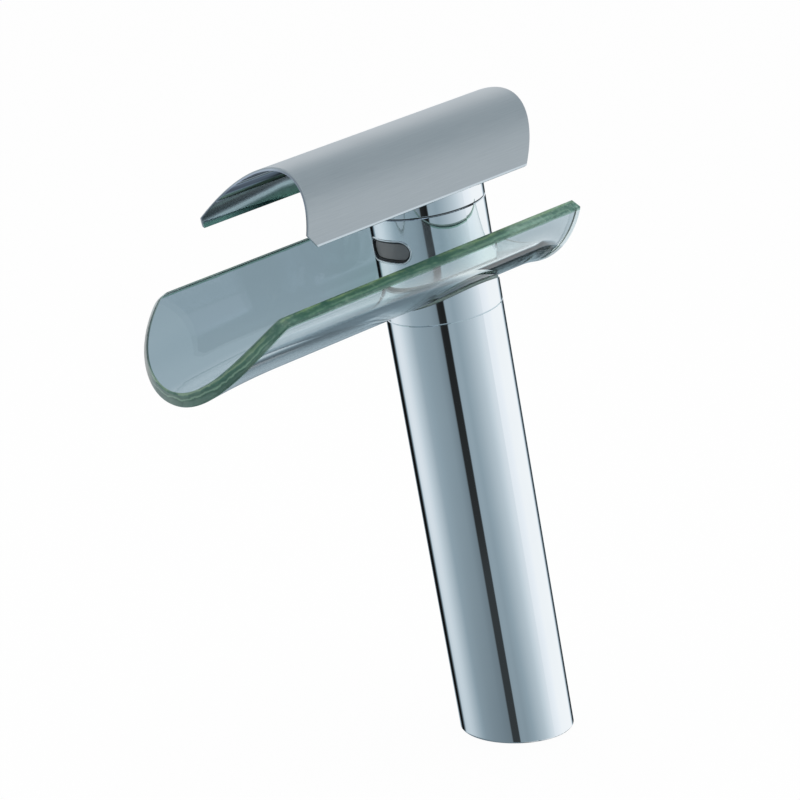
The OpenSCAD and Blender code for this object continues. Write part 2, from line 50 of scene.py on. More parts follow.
# Sizes that the pieces made here share with the solids, in metres
LEAN = math.radians(10)
TUBE_H = 0.198
COLLAR_H = 0.0062
GASKET_T = 0.001

# The bent sheet's section
GLASS_R = 0.044
GLASS_T = 0.006
GLASS_MID = GLASS_R + GLASS_T / 2
GLASS_HALF = math.radians(63)
GLASS_LOW = TUBE_H + COLLAR_H + GASKET_T
TROUGH_AXIS_H = GLASS_LOW + GLASS_T + GLASS_R

# Its ends, from the column's axis, and how far the long edges end behind the nose. NOSE_SHARE of that
# grows with the square of the bend angle, the rest with its fourth power.
REACH = 0.139
TAIL = 0.0455
SETBACK = 0.029
NOSE_SHARE = 0.73

# Where it starts to hang down, how far it does, and the long edges' share of that at the lip
LIP_START = 0.101
LIP_DROP = 0.0025
RIM_DROP_SHARE = 0.5
TAIL_START = 0.030
TAIL_DROP = 0.0019

# Its rounded corners, arrises and hole
CORNER = 0.0025
TAIL_CORNER = 0.0012
ARRIS = 0.0007
HOLE_R = 0.0187

# The body over it with the water slot, and the lever plate
BODY_R = 0.025
BODY_H = 0.0327
BODY_TOP = GLASS_LOW + GLASS_T + BODY_H
SLOT_W, SLOT_H = 0.024, 0.0089
SLOT_RISE = 0.0189
SLOT_MID_H = GLASS_LOW + GLASS_T + SLOT_RISE
PLATE_R = 0.0434
PLATE_T = 0.0012
PLATE_RISE = 0.0359
PLATE_AXIS_H = BODY_TOP + PLATE_RISE - PLATE_R

# Turns a point of the column's own frame into the world
TO_WORLD = Matrix.Rotation(LEAN, 4, "X")


# Node helpers


class Graph:
    """A small wrapper that makes node trees readable."""

    def __init__(self, tree):
        self.tree = tree
        tree.nodes.clear()

    def add(self, kind, **values):
        node = self.tree.nodes.new(kind)
        for key, value in values.items():
            setattr(node, key, value)
        return node

    def put(self, socket, value):
        """Links an output to the socket, or sets the socket's own value."""
        if isinstance(value, bpy.types.NodeSocket):
            self.tree.links.new(value, socket)
        else:
            socket.default_value = value

    def math(self, operation, *values):
        node = self.add("ShaderNodeMath", operation=operation)
        for socket, value in zip(node.inputs, values):
            self.put(socket, value)
        return node.outputs[0]

    def vmath(self, operation, *values):
        node = self.add("ShaderNodeVectorMath", operation=operation)
        for socket, value in zip(node.inputs, values):
            self.put(socket, value)
        return node.outputs["Value"] if operation in ("LENGTH", "DOT_PRODUCT") else node.outputs[0]

    def noise(self, vector, scale, detail=2.0, rough=0.5):
        node = self.add("ShaderNodeTexNoise")
        self.put(node.inputs["Vector"], vector)
        node.inputs["Scale"].default_value = scale
        node.inputs["Detail"].default_value = detail
        node.inputs["Roughness"].default_value = rough
        return node.outputs["Fac"]

    def ramp(self, fac, stops):
        """A linear ramp of (position, grey or colour) stops."""
        node = self.add("ShaderNodeValToRGB")
        self.put(node.inputs[0], fac)
        elements = node.color_ramp.elements
        while len(elements) > 1:
            elements.remove(elements[0])
        for i, (pos, value) in enumerate(stops):
            element = elements[0] if i == 0 else elements.new(pos)
            element.position = pos
            rgb = (value,) * 3 if isinstance(value, (int, float)) else value
            element.color = (*rgb, 1.0)
        return node.outputs[0]

    def split_ramp(self, share, cards):
        """A ramp of more stops than one node holds, as two ramps side by side."""
        half = len(cards) // 2
        middle = (cards[half][0] + 180) / 360
        sides = (self.card_ramp(share, cards[:half + 1]), self.card_ramp(share, cards[half:]))
        return self.mix(self.math("GREATER_THAN", share, middle), *sides)

    def card_ramp(self, share, cards):
        """A ramp of (turn in degrees, brightness from 0 to 255) stops."""
        return self.ramp(share, [((turn + 180) / 360, value / 255) for turn, value in cards])

    def span(self, value, low, high, to_low=0.0, to_high=1.0):
        """Maps a range to another one, clamped."""
        node = self.add("ShaderNodeMapRange")
        for socket, v in zip(node.inputs, (value, low, high, to_low, to_high)):
            self.put(socket, v)
        return node.outputs[0]

    def mix(self, fac, a, b):
        node = self.add("ShaderNodeMix", data_type="RGBA")
        self.put(node.inputs["Factor"], fac)
        for name, value in (("A", a), ("B", b)):
            socket = next(s for s in node.inputs if s.name == name and s.type == "RGBA")
            self.put(socket, value)
        return next(s for s in node.outputs if s.type == "RGBA")

    def bump(self, height, strength, distance):
        node = self.add("ShaderNodeBump")
        self.put(node.inputs["Height"], height)
        node.inputs["Strength"].default_value = strength
        node.inputs["Distance"].default_value = distance
        return node.outputs[0]

    def object_point(self):
        return self.add("ShaderNodeTexCoord").outputs["Object"]

    def column_point(self):
        """The object point in the frame of the leaning column."""
        turned = self.add("ShaderNodeVectorRotate", rotation_type="X_AXIS")
        self.put(turned.inputs["Vector"], self.object_point())
        turned.inputs["Angle"].default_value = -LEAN
        return turned.outputs[0]

    def split(self, vector):
        node = self.add("ShaderNodeSeparateXYZ")
        self.put(node.inputs[0], vector)
        return node.outputs

    def round_axis(self, point, axis_height):
        """x, y, height and distance of a point in the column's frame, about a lengthwise axis."""
        x, y, z = self.split(point)
        height = self.math("SUBTRACT", z, axis_height)
        squares = (self.math("POWER", x, 2.0), self.math("POWER", height, 2.0))
        return x, y, height, self.math("SQRT", self.math("ADD", *squares))


def surface(name, **sockets):
    """A new material with one Principled shader and these socket values."""
    material = bpy.data.materials.new(name)
    material.use_nodes = True
    graph = Graph(material.node_tree)
    out = graph.add("ShaderNodeOutputMaterial")
    shader = graph.add("ShaderNodeBsdfPrincipled")
    graph.put(out.inputs["Surface"], shader.outputs[0])
    for key, value in sockets.items():
        shader.inputs[key.replace("_", " ")].default_value = value
    return material, graph, shader


# Materials


def chrome_material():
    """Polished plating: a mirror with a faint waviness, wiping marks and a few softer patches."""
    material, g, shader = surface("polished_chrome", Metallic=1.0)
    point = g.object_point()
    patches = g.noise(point, 26.0, 3.0, 0.55)
    along = g.vmath("MULTIPLY", point, (1.0, 1.0, 0.12))
    wipes = g.noise(along, 900.0, 2.0, 0.6)
    rough = g.math("ADD", g.span(patches, 0.3, 0.75, 0.02, 0.045), g.span(wipes, 0.55, 0.8, 0.0, 0.012))
    tone = g.mix(g.span(patches, 0.35, 0.7), (0.93, 0.945, 0.955, 1.0), (0.9, 0.92, 0.935, 1.0))
    g.put(shader.inputs["Roughness"], rough)
    g.put(shader.inputs["Base Color"], tone)
    g.put(shader.inputs["Normal"], g.bump(g.noise(point, 60.0, 1.0, 0.4), 0.04, 0.0004))
    return material


# Painted reflections and shade inside the lever plate, as bands by degrees from the crown: a pale painted
# highlight near the crown, dark bands, a light streak and dark green towards the edge
PLATE_EDGE = 64
PLATE_PAINTED_REFLECTIONS = (
    (0, (0.5, 0.5, 0.58)), (27, (0.5, 0.5, 0.6)), (34, (0.62, 0.66, 0.8)), (36.5, (0.4, 0.46, 0.54)),
    (38.5, (0.04, 0.06, 0.07)), (41.5, (0.06, 0.1, 0.1)), (43.5, (0.02, 0.035, 0.04)),
    (47.5, (0.022, 0.038, 0.046)), (49.2, (0.1, 0.13, 0.15)), (51, (0.3, 0.38, 0.41)),
    (53, (0.3, 0.38, 0.41)), (54.5, (0.12, 0.18, 0.19)), (56, (0.05, 0.1, 0.095)),
    (PLATE_EDGE, (0.06, 0.14, 0.11)),
)
# Painted highlight and tones of its cut ends, from the edge on the -X side over the crown to the other edge
PLATE_ENDS_PAINTED_LIGHT = (
    (-PLATE_EDGE, (0.16, 0.17, 0.2)), (-40, (0.2, 0.21, 0.25)), (-32, (0.7, 0.7, 0.8)),
    (-4, (0.8, 0.8, 0.86)), (8, (0.4, 0.41, 0.44)), (PLATE_EDGE, (0.3, 0.31, 0.33)),
)
# Where one look of the plate turns into the next, by distance from its axis, by angle and by y
SATIN_SKIN = (PLATE_R - 0.0007, PLATE_R - 0.0003)
CUT_THROUGH = (PLATE_R - PLATE_T + 0.00006, PLATE_R - PLATE_T + 0.0002)
# The painted highlight along the long edges fades in over this angle
PAINTED_EDGE_HIGHLIGHT = (math.radians(62.2), math.radians(62.7))
TIP_ANGLE = (math.radians(59), math.radians(60.5))
TIP_Y = (-0.056, -0.076)
# How far the bands inside turn down towards the front tips, and over which y
SKEW = math.radians(8)
SKEW_Y = (-0.046, -0.086)
# Roughness of the inside
POLISHED = 0.05


def plate_material():
    """Satin outside and polished inside, told apart by the distance from the plate's own axis."""
    material, g, shader = surface("lever_satin", Metallic=1.0)
    point = g.object_point()
    turned = g.column_point()
    x, y, height, radius = g.round_axis(turned, PLATE_AXIS_H)
    outer = g.span(radius, *SATIN_SKIN)
    grain_at = g.vmath("MULTIPLY", turned, (1.0, 0.02, 1.0))
    grain = g.noise(grain_at, 3200.0, 2.0, 0.6)
    cloud = g.noise(point, 22.0, 3.0, 0.5)
    satin = g.math("ADD", g.span(cloud, 0.3, 0.7, 0.30, 0.36), g.span(grain, 0.35, 0.75, -0.03, 0.05))
    duller = g.math("MULTIPLY", outer, g.math("SUBTRACT", satin, POLISHED))
    g.put(shader.inputs["Roughness"], g.math("ADD", POLISHED, duller))
    matt = g.mix(g.span(grain, 0.3, 0.7), (0.575, 0.573, 0.573, 1.0), (0.632, 0.627, 0.625, 1.0))
    # A painted highlight runs along the long edges as a bright line
    angle = g.math("ARCTAN2", g.math("ABSOLUTE", x), height)
    edge_highlight = g.math("MULTIPLY", outer, g.span(angle, *PAINTED_EDGE_HIGHLIGHT))
    matt = g.mix(edge_highlight, matt, (0.96, 0.96, 0.96, 1.0))
    # Inside, the painted reflections and painted shade run lengthwise as bands and turn down a little to the
    # front tips
    uneven = g.math("ADD", angle, g.span(g.noise(turned, 25.0, 2.0, 0.5), 0.3, 0.7, -0.02, 0.02))
    skewed = g.math("SUBTRACT", uneven, g.span(y, *SKEW_Y, 0.0, SKEW))
    edge = math.radians(PLATE_EDGE)
    inside_painted_light = g.ramp(g.span(skewed, 0.0, edge), [(a / PLATE_EDGE, c) for a, c in PLATE_PAINTED_REFLECTIONS])
    # Each front tip is pale green along its edge: a painted reflection of the glass's green edge
    tip = g.math("MULTIPLY", g.span(y, *TIP_Y), g.span(angle, *TIP_ANGLE))
    inside_painted_light = g.mix(tip, inside_painted_light, (0.36, 0.62, 0.5, 1.0))
    # The cut ends carry a painted highlight on the -X side of the crown and are darker down the sides
    around = g.span(g.math("ARCTAN2", x, height), -edge, edge)
    ends = g.ramp(around, [((a / PLATE_EDGE + 1) / 2, c) for a, c in PLATE_ENDS_PAINTED_LIGHT])
    inside_painted_light = g.mix(g.span(radius, *CUT_THROUGH), inside_painted_light, ends)
    g.put(shader.inputs["Base Color"], g.mix(outer, inside_painted_light, matt))
    g.put(shader.inputs["Normal"], g.bump(g.math("MULTIPLY", grain, outer), 0.12, 0.00006))
    return material


# Where the glass turns greener: by distance from the column's axis, by angle towards the long edges
# and by distance short of the nose
HOLE_GREEN = (0.045, 0.024)
EDGE_GREEN = (GLASS_HALF - 0.032, GLASS_HALF - 0.024)
NOSE_GREEN = (0.0024, 0.0016)


def glass_material():
    """Clear float glass, faintly green, a little uneven as bent glass is."""
    material, g, shader = surface("bent_glass", Transmission_Weight=1.0, IOR=1.5, Specular_IOR_Level=0.8)
    point = g.object_point()
    cloud = g.noise(point, 30.0, 2.0, 0.5)
    tone = g.mix(cloud, (0.88, 0.935, 0.945, 1.0), (0.9, 0.945, 0.955, 1.0))
    # Round the hole, light travels furthest inside the sheet and comes out greener
    turned = g.column_point()
    spread = g.vmath("LENGTH", g.vmath("MULTIPLY", turned, (1.0, 0.8, 0.0)))
    tone = g.mix(g.span(spread, *HOLE_GREEN), tone, (0.79, 0.9, 0.87, 1.0))
    # Along the long edges and the nose the outer face takes a painted green glow a little way in, standing
    # in for the ground face's light seen through the glass
    x, y, height, radius = g.round_axis(turned, TROUGH_AXIS_H)
    angle = g.math("ARCTAN2", g.math("ABSOLUTE", x), g.math("MULTIPLY", height, -1.0))
    outer = g.math("GREATER_THAN", radius, GLASS_MID)
    uneven = g.math("ADD", angle, g.span(g.noise(turned, 90.0, 3.0, 0.6), 0.3, 0.7, -0.004, 0.004))
    square = g.math("POWER", g.math("DIVIDE", angle, GLASS_HALF), 2.0)
    bow = g.math("MULTIPLY", square, g.math("ADD", NOSE_SHARE, g.math("MULTIPLY", square, 1 - NOSE_SHARE)))
    ahead = g.math("ADD", g.math("SUBTRACT", REACH, g.math("MULTIPLY", bow, SETBACK)), y)
    painted_edge_glow = g.math("MAXIMUM", g.span(uneven, *EDGE_GREEN), g.span(ahead, *NOSE_GREEN))
    tone = g.mix(g.math("MULTIPLY", outer, painted_edge_glow), tone, (0.2, 0.4, 0.28, 1.0))
    g.put(shader.inputs["Base Color"], tone)
    marks = g.noise(point, 140.0, 3.0, 0.6)
    g.put(shader.inputs["Roughness"], g.span(marks, 0.5, 0.8, 0.0, 0.012))
    g.put(shader.inputs["Normal"], g.bump(g.noise(point, 16.0, 1.0, 0.4), 0.05, 0.0006))
    return material


# Where the ground edge gets more specks towards the back, and where it takes the lip's look, by x and y
WORN_Y = (0.0, 0.045)
LIP_Y = (-0.112, -0.125)
FAR_LIP_X = (-0.014, -0.026)
FAR_LIP_Y = (-0.095, -0.11)


def edge_material():
    """Ground edge of the glass: green from the length of glass behind it, in uneven bands."""
    material, g, shader = surface(
        "ground_edge", Transmission_Weight=0.4, IOR=1.5, Sheen_Weight=0.3, Sheen_Roughness=0.25,
        Coat_Weight=0.7, Coat_Roughness=0.1,
    )
    turned = g.column_point()
    x, y, _, radius = g.round_axis(turned, TROUGH_AXIS_H)
    depth = g.span(radius, GLASS_R, GLASS_R + GLASS_T)
    warp = g.noise(g.vmath("MULTIPLY", turned, (1.0, 0.35, 1.0)), 120.0, 4.0, 0.65)
    across = g.math("ADD", depth, g.math("MULTIPLY", g.math("SUBTRACT", warp, 0.5), 0.8))
    bands = g.ramp(across, [
        (0.0, (0.09, 0.2, 0.14)), (0.12, (0.06, 0.17, 0.11)), (0.28, (0.3, 0.5, 0.24)),
        (0.36, (0.12, 0.28, 0.16)), (0.55, (0.05, 0.17, 0.11)), (0.72, (0.19, 0.4, 0.26)),
        (0.86, (0.07, 0.2, 0.14)), (1.0, (0.2, 0.38, 0.3)),
    ])
    cloud = g.noise(turned, 60.0, 4.0, 0.65)
    tone = g.mix(g.span(cloud, 0.48, 0.62), bands, (0.045, 0.16, 0.11, 1.0))
    tone = g.mix(g.span(cloud, 0.44, 0.34), tone, (0.26, 0.46, 0.33, 1.0))
    # The ground face sparkles more towards the back
    speck = g.noise(turned, 700.0, 4.0, 0.75)
    worn = g.span(y, *WORN_Y, 0.25, 0.85)
    tone = g.mix(g.math("MULTIPLY", g.span(speck, 0.54, 0.68), worn), tone, (0.42, 0.6, 0.5, 1.0))
    tone = g.mix(g.math("MULTIPLY", g.span(speck, 0.44, 0.32), worn), tone, (0.04, 0.1, 0.07, 1.0))
    # Round the lip it is darker, with two pale bands
    lip = g.ramp(g.math("ADD", depth, g.span(warp, 0.3, 0.7, -0.12, 0.12)), [
        (0.0, (0.05, 0.12, 0.1)), (0.3, (0.04, 0.14, 0.1)), (0.4, (0.34, 0.5, 0.32)),
        (0.5, (0.05, 0.17, 0.12)), (0.66, (0.02, 0.08, 0.055)), (0.76, (0.28, 0.48, 0.35)),
        (0.84, (0.02, 0.08, 0.05)), (1.0, (0.06, 0.14, 0.1)),
    ])
    tone = g.mix(g.span(y, *LIP_Y, 0.0, 0.7), tone, lip)
    # On the -X side of the lip it is dark along the inner face and white along the outer one, the white a
    # painted reflection where the edge is seen at a glancing angle
    far_lip_painted_reflection = g.ramp(depth, [
        (0.0, (0.03, 0.07, 0.06)), (0.3, (0.04, 0.09, 0.08)), (0.42, (0.8, 0.9, 0.88)),
        (1.0, (0.97, 1.0, 0.99)),
    ])
    tone = g.mix(g.math("MULTIPLY", g.span(x, *FAR_LIP_X), g.span(y, *FAR_LIP_Y)), tone, far_lip_painted_reflection)
    # A softer tone runs along the inner arris
    tone = g.mix(g.span(depth, 0.1, 0.04), tone, (0.2, 0.3, 0.27, 1.0))
    g.put(shader.inputs["Base Color"], tone)
    g.put(shader.inputs["Roughness"], g.span(speck, 0.3, 0.7, 0.3, 0.5))
    g.put(shader.inputs["Normal"], g.bump(speck, 0.3, 0.00008))
    return material


def sawn_material():
    """The trough's back end, left as sawn: pale and half clear.

    It hardly bends light, so that it stays pale seen through the glass.
    """
    material, g, shader = surface("sawn_end", Transmission_Weight=0.9, IOR=1.05)
    point = g.object_point()
    speck = g.noise(point, 500.0, 3.0, 0.6)
    g.put(shader.inputs["Base Color"], g.mix(speck, (0.84, 0.94, 0.9, 1.0), (0.94, 0.98, 0.96, 1.0)))
    g.put(shader.inputs["Roughness"], g.span(speck, 0.3, 0.7, 0.42, 0.6))
    g.put(shader.inputs["Normal"], g.bump(speck, 0.1, 0.00005))
    return material


def moulded(name, tones, cloud, rough, grain, bump, **sockets):
    """Moulded rubber or plastic: cloudy in tone and gloss, with a fine grain.

    cloud and grain are a noise's scale, detail and roughness, and bump is a strength and a distance.
    """
    material, g, shader = surface(name, **sockets)
    point = g.object_point()
    patches = g.noise(point, *cloud)
    g.put(shader.inputs["Base Color"], g.mix(patches, *tones))
    g.put(shader.inputs["Roughness"], g.span(patches, 0.3, 0.7, *rough))
    g.put(shader.inputs["Normal"], g.bump(g.noise(point, *grain), *bump))
    return material


def turned_metal(name, low, high, rough):
    """Machined metal with fine turning marks, level all round."""
    material, g, shader = surface(name, Metallic=1.0)
    point = g.object_point()
    marks = g.noise(g.vmath("MULTIPLY", point, (0.06, 0.06, 1.0)), 4200.0, 2.0, 0.6)
    cloud = g.noise(point, 45.0, 3.0, 0.55)
    g.put(shader.inputs["Base Color"], g.mix(cloud, low, high))
    g.put(shader.inputs["Roughness"], g.math("ADD", rough, g.span(marks, 0.3, 0.7, -0.05, 0.06)))
    g.put(shader.inputs["Normal"], g.bump(marks, 0.2, 0.00005))
    return material


def ceramic_material():
    """Off-white ceramic, ground flat and a little glossy."""
    material, g, shader = surface("lapped_ceramic", IOR=1.6)
    point = g.object_point()
    speck = g.noise(point, 700.0, 4.0, 0.6)
    g.put(shader.inputs["Base Color"], g.mix(speck, (0.82, 0.80, 0.75, 1.0), (0.88, 0.87, 0.83, 1.0)))
    g.put(shader.inputs["Roughness"], g.span(speck, 0.3, 0.7, 0.18, 0.26))
    return material


WIRE_PITCH = 0.00045


def mesh_material():
    """Fine woven screen behind the water slot: round wires both ways with dark gaps."""
    material, g, shader = surface("woven_screen", Metallic=1.0)
    point = g.object_point()
    parts = g.split(point)
    waves = []
    for axis in (0, 2):
        turn = g.math("SINE", g.math("MULTIPLY", parts[axis], math.pi / WIRE_PITCH))
        waves.append(g.math("ABSOLUTE", turn))
    wires = g.math("MAXIMUM", *waves)
    weave = g.span(wires, 0.55, 0.95)
    g.put(shader.inputs["Base Color"], g.mix(weave, (0.06, 0.053, 0.05, 1.0), (0.5, 0.45, 0.43, 1.0)))
    g.put(shader.inputs["Roughness"], g.span(weave, 0.0, 1.0, 0.6, 0.38))
    g.put(shader.inputs["Normal"], g.bump(weave, 0.6, 0.00015))
    return material


MATERIALS = {
    "chrome": chrome_material(),
    "brass": turned_metal("turned_brass", (0.55, 0.40, 0.16, 1.0), (0.66, 0.50, 0.22, 1.0), 0.3),
    "copper": turned_metal("drawn_copper", (0.62, 0.30, 0.18, 1.0), (0.72, 0.38, 0.25, 1.0), 0.32),
    "rubber": moulded(
        "moulded_rubber", tones=((0.03, 0.031, 0.033, 1.0), (0.055, 0.056, 0.06, 1.0)), rough=(0.5, 0.68),
        cloud=(90.0, 4.0, 0.6), grain=(1500.0, 3.0, 0.6), bump=(0.25, 0.00005), IOR=1.5,
    ),
    "dark_plastic": moulded(
        "moulded_plastic", tones=((0.035, 0.037, 0.041, 1.0), (0.055, 0.058, 0.063, 1.0)), rough=(0.36, 0.5),
        cloud=(60.0, 3.0, 0.5), grain=(2200.0, 2.0, 0.5), bump=(0.15, 0.00004), IOR=1.48,
    ),
    "clear_glass": glass_material(),
    "clear_rubber": moulded(
        "clear_silicone", tones=((0.56, 0.76, 0.72, 1.0), (0.68, 0.86, 0.82, 1.0)), rough=(0.25, 0.4),
        cloud=(80.0, 3.0, 0.6), grain=(1200.0, 2.0, 0.5), bump=(0.15, 0.00004),
        Transmission_Weight=0.6, IOR=1.42,
    ),
    "mesh_steel": mesh_material(),
    "ceramic": ceramic_material(),
    "steel": turned_metal("turned_steel", (0.50, 0.51, 0.52, 1.0), (0.60, 0.61, 0.62, 1.0), 0.26),
    "satin_plate": plate_material(),
}
EDGE = edge_material()
SAWN = sawn_material()
BEAD = turned_metal("bright_bead", (0.95, 0.96, 0.96, 1.0), (0.98, 0.98, 0.98, 1.0), 0.28)
SLOT_OF = {s["node"]: s["material_slot"] for s in frame["record"]["subparts"]}
for node_name, node_object in nodes.items():
    for material_slot in node_object.material_slots:
        material_slot.material = MATERIALS[SLOT_OF[node_name]]


# Glass trough


# Rows along the sheet: over the drooping tail, then over FLAT_SHARE of the rest, then to the lip
TAIL_ROWS, FLAT_ROWS, LIP_ROWS = 10, 8, 14
ROWS = TAIL_ROWS + FLAT_ROWS + LIP_ROWS + 1
FLAT_SHARE = 0.72
COLUMNS = 144
HOLE_SIDES = 128
SMOOTH_BELOW = math.radians(24)
CLEAR_FACE, GROUND_FACE, SAWN_FACE = range(3)


def corner_cut(angle, radius):
    """How far a rounded corner of the blank draws the end back at this bend angle."""
    reach = max(0.0, GLASS_MID * (abs(angle) - GLASS_HALF) + radius)
    return radius - math.sqrt(max(0.0, radius**2 - reach**2))


def lip_end(angle):
    """Distance along the sheet at which it ends in front."""
    share = abs(angle) / GLASS_HALF
    bow = NOSE_SHARE * share**2 + (1 - NOSE_SHARE) * share**4
    return REACH - SETBACK * bow - corner_cut(angle, CORNER)


def tail_end(angle):
    """Distance along the sheet at which it ends at the back, below zero."""
    return corner_cut(angle, TAIL_CORNER) - TAIL


def droop(angle, along):
    """How far the sheet hangs down there, at the lip and at the back end."""
    side = (math.cos(angle) - math.cos(GLASS_HALF)) / (1 - math.cos(GLASS_HALF))
    lip = max(0.0, along - LIP_START) / (REACH - LIP_START)
    tail = max(0.0, -along - TAIL_START) / (TAIL - TAIL_START)
    return LIP_DROP * lip**2 * (RIM_DROP_SHARE + (1 - RIM_DROP_SHARE) * side) + TAIL_DROP * tail**2 * side


def sheet_point(radius, angle, along):
    """The point of the bent sheet at this distance from its axis, this bend angle and place along it."""
    height = TROUGH_AXIS_H - radius * math.cos(angle) - droop(angle, along)
    return TO_WORLD @ Vector((radius * math.sin(angle), -along, height))


def sheet_layer(radius, inset):
    """Points of one face of the sheet, drawn in from its outline, in columns from back to front."""
    points = []
    edge = GLASS_HALF - inset / radius
    for i in range(COLUMNS + 1):
        angle = edge * math.sin(math.pi * i / COLUMNS - math.pi / 2)
        back, front = tail_end(angle) + inset, lip_end(angle) - inset
        middle = -TAIL_START + (front + TAIL_START) * FLAT_SHARE
        places = [back + (-TAIL_START - back) * k / TAIL_ROWS for k in range(TAIL_ROWS)]
        places += [-TAIL_START + (middle + TAIL_START) * k / FLAT_ROWS for k in range(FLAT_ROWS)]
        places += [middle + (front - middle) * k / LIP_ROWS for k in range(LIP_ROWS + 1)]
        points += [sheet_point(radius, angle, along) for along in places]
    return points


def sheet_mesh():
    """The sheet without its hole: the inner and outer face, and an arris, an edge and an arris between."""
    verts, faces = [], []
    for radius, inset in (
        (GLASS_R, ARRIS),
        (GLASS_R + ARRIS, 0.0),
        (GLASS_R + GLASS_T - ARRIS, 0.0),
        (GLASS_R + GLASS_T, ARRIS),
    ):
        verts += sheet_layer(radius, inset)
    layer, last = (COLUMNS + 1) * ROWS, ROWS - 1
    border = [i * ROWS for i in range(COLUMNS + 1)]
    border += [COLUMNS * ROWS + j for j in range(1, ROWS)]
    border += [i * ROWS + last for i in range(COLUMNS - 1, -1, -1)]
    border += [j for j in range(last - 1, 0, -1)]
    for i in range(COLUMNS):
        for j in range(last):
            p = i * ROWS + j
            faces.append((p, p + 1, p + ROWS + 1, p + ROWS))
            faces.append(tuple(q + 3 * layer for q in (p + ROWS, p + ROWS + 1, p + 1, p)))
    indexes = [CLEAR_FACE] * len(faces)
    for m in range(3):
        for k, p in enumerate(border):
            q = border[(k + 1) % len(border)]
            faces.append((p + m * layer, q + m * layer, q + (m + 1) * layer, p + (m + 1) * layer))
            indexes.append(GROUND_FACE)
    mesh = bpy.data.meshes.new("trough_glass")
    mesh.from_pydata(verts, [], faces)
    for material in (MATERIALS["clear_glass"], EDGE, SAWN):
        mesh.materials.append(material)
    mesh.polygons.foreach_set("material_index", indexes)
    mesh.validate()
    return mesh


def hole_cutter():
    """A fine cylinder through the sheet, where the tail of the body passes."""
    sides = HOLE_SIDES
    turns = [2 * math.pi * k / sides for k in range(sides)]
    ring = [(HOLE_R * math.cos(a), HOLE_R * math.sin(a)) for a in turns]
    points = [TO_WORLD @ Vector((x, y, z)) for z in (TUBE_H, BODY_TOP) for x, y in ring]
    walls = [(k, (k + 1) % sides, sides + (k + 1) % sides, sides + k) for k in range(sides)]
    walls += [tuple(range(sides - 1, -1, -1)), tuple(range(sides, 2 * sides))]
    mesh = bpy.data.meshes.new("hole_cutter")
    mesh.from_pydata(points, [], walls)
    cutter = bpy.data.objects.new("hole_cutter", mesh)
    scene.collection.objects.link(cutter)
    return cutter


def cut_hole(piece):
    """Takes the hole out of the sheet and gives the piece the resulting mesh, with smooth faces."""
    cutter = hole_cutter()
    boolean = piece.modifiers.new("hole", "BOOLEAN")
    boolean.operation, boolean.object, boolean.solver = "DIFFERENCE", cutter, "EXACT"
    bpy.context.view_layer.update()
    evaluated = piece.evaluated_get(bpy.context.evaluated_depsgraph_get())
    mesh = bpy.data.meshes.new_from_object(evaluated)
    piece.modifiers.clear()
    piece.data = mesh
    bpy.data.objects.remove(cutter)
    mesh.name = "trough_glass"
    mesh.polygons.foreach_set("use_smooth", [True] * len(mesh.polygons))
    mesh.set_sharp_from_angle(angle=SMOOTH_BELOW)


def mark_faces(mesh):
    """Gives the hole's wall the ground edge's material and the flat back end its own."""
    back_to_column = TO_WORLD.inverted()
    wall_r = HOLE_R + 0.0001
    # A wall's normal points hardly up or down, and the end's points nearly straight back
    most_upward, least_backward = 0.2, 0.9
    for polygon in mesh.polygons:
        centre, normal = back_to_column @ polygon.center, back_to_column @ polygon.normal
        at_end = centre.y > TAIL - TAIL_CORNER - ARRIS and normal.y > least_backward
        if math.hypot(centre.x, centre.y) < wall_r and abs(normal.z) < most_upward:
            polygon.material_index = GROUND_FACE
        elif polygon.material_index == GROUND_FACE and at_end:
            polygon.material_index = SAWN_FACE


def glass_piece():
    """The bent sheet again, with fine strips and smooth faces, so that it reflects as one curve."""
    piece = bpy.data.objects.new("trough_glass", sheet_mesh())
    scene.collection.objects.link(piece)
    cut_hole(piece)
    mark_faces(piece.data)
    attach(piece, "tap")
    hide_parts("glass_trough")


glass_piece()


# Bead round the water slot


# Its middle outside the slot, and its half width and half height
BEAD_OUT, BEAD_WIDE, BEAD_PROUD = 0.0004, 0.0004, 0.00028


def bead_piece():
    """The bright raised line round the slot, a closed ring half sunk in the body's round face."""
    half, end_r = (SLOT_W - SLOT_H) / 2, SLOT_H / 2 + BEAD_OUT
    straight, bend, sides = 20, 28, 12
    outline = [(-half + 2 * half * k / straight, -end_r, 0.0, -1.0) for k in range(straight)]
    for k in range(bend):
        a = -math.pi / 2 + math.pi * k / bend
        outline.append((half + end_r * math.cos(a), end_r * math.sin(a), math.cos(a), math.sin(a)))
    outline += [(-x, -z, -nx, -nz) for x, z, nx, nz in outline]
    verts, faces = [], []
    for x, z, nx, nz in outline:
        face = Vector((x, -math.sqrt(BODY_R**2 - x**2), 0)) / BODY_R
        along = Vector((-face.y, face.x, 0))
        outward = (along * nx + Vector((0, 0, 1)) * nz).normalized()
        centre = face * BODY_R + Vector((0, 0, SLOT_MID_H + z))
        for k in range(sides):
            a = 2 * math.pi * k / sides
            offset = outward * BEAD_WIDE * math.cos(a) + face * BEAD_PROUD * math.sin(a)
            verts.append(TO_WORLD @ (centre + offset))
    count = len(outline)
    for i in range(count):
        for k in range(sides):
            p, q = i * sides, ((i + 1) % count) * sides
            j = (k + 1) % sides
            faces.append((p + k, p + j, q + j, q + k))
    mesh = bpy.data.meshes.new("slot_bead")
    mesh.from_pydata(verts, [], faces)
    mesh.polygons.foreach_set("use_smooth", [True] * len(faces))
    piece = bpy.data.objects.new("slot_bead", mesh)
    scene.collection.objects.link(piece)
    mesh.materials.append(BEAD)
    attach(piece, "tap")


bead_piece()


# Camera, fitted to the outlines in the photograph


